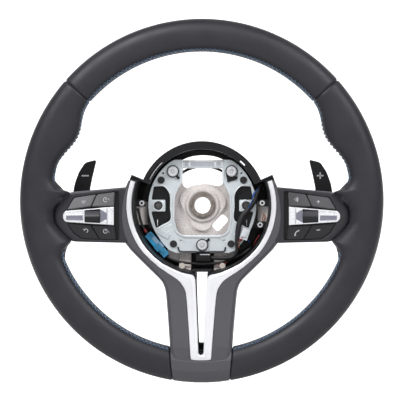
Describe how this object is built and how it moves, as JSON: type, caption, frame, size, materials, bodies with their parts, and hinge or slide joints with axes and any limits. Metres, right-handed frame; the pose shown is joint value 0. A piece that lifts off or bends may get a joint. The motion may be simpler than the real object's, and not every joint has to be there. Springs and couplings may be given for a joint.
{
  "type": "car steering wheel",
  "caption": "Sports car steering wheel without its airbag: leather rim with thumb rests, flattened lower spoke with a slot, switch pods, shift paddles and a spring-borne horn plate.",
  "frame": {"origin": "on the steering column's axis, in the middle of the depth of the hub's steel bush", "axes": "+Y along the column's axis, away from the driver; +Z towards the top of the rim with the wheel set straight ahead; +X to the driver's right"},
  "size_m": [0.37, 0.0975, 0.3701],
  "materials": {
    "cast_alloy": "satin",
    "bush_steel": "satin",
    "foam": "matt",
    "rim_leather": "satin",
    "grey_plastic": "satin",
    "bright_trim": "satin",
    "black_plastic": "matt",
    "pod_plastic": "satin",
    "button_plastic": "satin",
    "circuit_board": "satin",
    "silicone": "matt",
    "zinc_steel": "satin",
    "plate_steel": "satin",
    "spring_steel": "satin",
    "black_rubber": "matt",
    "cable_black": "matt",
    "blue_plastic": "gloss",
    "white_plastic": "gloss"
  },
  "bodies": {
    "wheel": {"armature": "cast_alloy", "hub_insert": "bush_steel", "rim_foam": "foam", "leather_top": "rim_leather", "leather_left": "rim_leather", "leather_right": "rim_leather", "spoke_cover": "grey_plastic", "silver_trim": "bright_trim", "well_liner": "black_plastic", "rear_cover": "black_plastic", "left_pod": "pod_plastic", "right_pod": "pod_plastic", "left_bezel": "bright_trim", "right_bezel": "bright_trim", "left_rocker_pin": "zinc_steel", "right_thumbwheel_pin": "zinc_steel", "left_circuit_board": "circuit_board", "right_circuit_board": "circuit_board", "left_dome_mat": "silicone", "right_dome_mat": "silicone", "left_paddle_bracket": "black_plastic", "right_paddle_bracket": "black_plastic", "left_paddle_pin": "zinc_steel", "right_paddle_pin": "zinc_steel", "left_paddle_spring": "spring_steel", "right_paddle_spring": "spring_steel", "horn_screws": "zinc_steel", "horn_springs": "spring_steel", "left_contact_block": "black_plastic", "right_contact_block": "black_plastic", "pod_screws": "zinc_steel", "spoke_posts": "zinc_steel", "right_loom": "cable_black", "bottom_loom": "cable_black", "left_loom": "cable_black", "blue_connector": "blue_plastic", "bottom_plug": "black_plastic"},
    "left_button_cancel": {"left_button_cancel": "button_plastic"},
    "left_button_limit": {"left_button_limit": "button_plastic"},
    "left_button_return": {"left_button_return": "button_plastic"},
    "left_button_distance": {"left_button_distance": "button_plastic"},
    "right_button_voice": {"right_button_voice": "button_plastic"},
    "right_button_plus": {"right_button_plus": "button_plastic"},
    "right_button_phone": {"right_button_phone": "button_plastic"},
    "right_button_minus": {"right_button_minus": "button_plastic"},
    "left_rocker": {"left_rocker": "button_plastic"},
    "right_thumbwheel": {"right_thumbwheel": "button_plastic"},
    "left_paddle": {"left_paddle": "black_plastic"},
    "right_paddle": {"right_paddle": "black_plastic"},
    "horn_plate": {"horn_plate": "plate_steel", "horn_insulators": "black_plastic", "plate_pads": "black_rubber", "clip_wire": "spring_steel", "white_connector": "white_plastic"}
  },
  "joints": [
    {"name": "left_button_cancel_press", "type": "slide", "parent": "wheel", "child": "left_button_cancel", "axis": [0, 1, 0], "range_m": [0, 0.0008], "stiffness_N_per_m": 1800, "springref_m": -0.0004},
    {"name": "left_button_limit_press", "type": "slide", "parent": "wheel", "child": "left_button_limit", "axis": [0, 1, 0], "range_m": [0, 0.0008], "stiffness_N_per_m": 1800, "springref_m": -0.0004},
    {"name": "left_button_return_press", "type": "slide", "parent": "wheel", "child": "left_button_return", "axis": [0, 1, 0], "range_m": [0, 0.0008], "stiffness_N_per_m": 1800, "springref_m": -0.0004},
    {"name": "left_button_distance_press", "type": "slide", "parent": "wheel", "child": "left_button_distance", "axis": [0, 1, 0], "range_m": [0, 0.0008], "stiffness_N_per_m": 1800, "springref_m": -0.0004},
    {"name": "right_button_voice_press", "type": "slide", "parent": "wheel", "child": "right_button_voice", "axis": [0, 1, 0], "range_m": [0, 0.0008], "stiffness_N_per_m": 1800, "springref_m": -0.0004},
    {"name": "right_button_plus_press", "type": "slide", "parent": "wheel", "child": "right_button_plus", "axis": [0, 1, 0], "range_m": [0, 0.0008], "stiffness_N_per_m": 1800, "springref_m": -0.0004},
    {"name": "right_button_phone_press", "type": "slide", "parent": "wheel", "child": "right_button_phone", "axis": [0, 1, 0], "range_m": [0, 0.0008], "stiffness_N_per_m": 1800, "springref_m": -0.0004},
    {"name": "right_button_minus_press", "type": "slide", "parent": "wheel", "child": "right_button_minus", "axis": [0, 1, 0], "range_m": [0, 0.0008], "stiffness_N_per_m": 1800, "springref_m": -0.0004},
    {"name": "left_rocker_tip", "type": "hinge", "parent": "wheel", "child": "left_rocker", "pos_m": [-0.111, -0.044, -0.0112], "axis": [1, 0, 0], "range_deg": [-6, 6], "stiffness_Nm_per_rad": 0.06},
    {"name": "right_thumbwheel_turn", "type": "hinge", "parent": "wheel", "child": "right_thumbwheel", "pos_m": [0.111, -0.044, -0.0112], "axis": [1, 0, 0], "continuous": true},
    {"name": "left_paddle_pull", "type": "hinge", "parent": "wheel", "child": "left_paddle", "pos_m": [-0.08, -0.0055, -0.0025], "axis": [0, 0, 1], "range_deg": [0, 4], "stiffness_Nm_per_rad": 1.2, "springref_deg": -5.73, "deforming": ["left_paddle_spring"]},
    {"name": "right_paddle_pull", "type": "hinge", "parent": "wheel", "child": "right_paddle", "pos_m": [0.08, -0.0055, -0.0025], "axis": [0, 0, -1], "range_deg": [0, 4], "stiffness_Nm_per_rad": 1.2, "springref_deg": -5.73, "deforming": ["right_paddle_spring"]},
    {"name": "horn_plate_press", "type": "slide", "parent": "wheel", "child": "horn_plate", "axis": [0, 1, 0], "range_m": [0, 0.0015], "stiffness_N_per_m": 6000, "springref_m": -0.0015, "deforming": ["horn_springs"]}
  ]
}
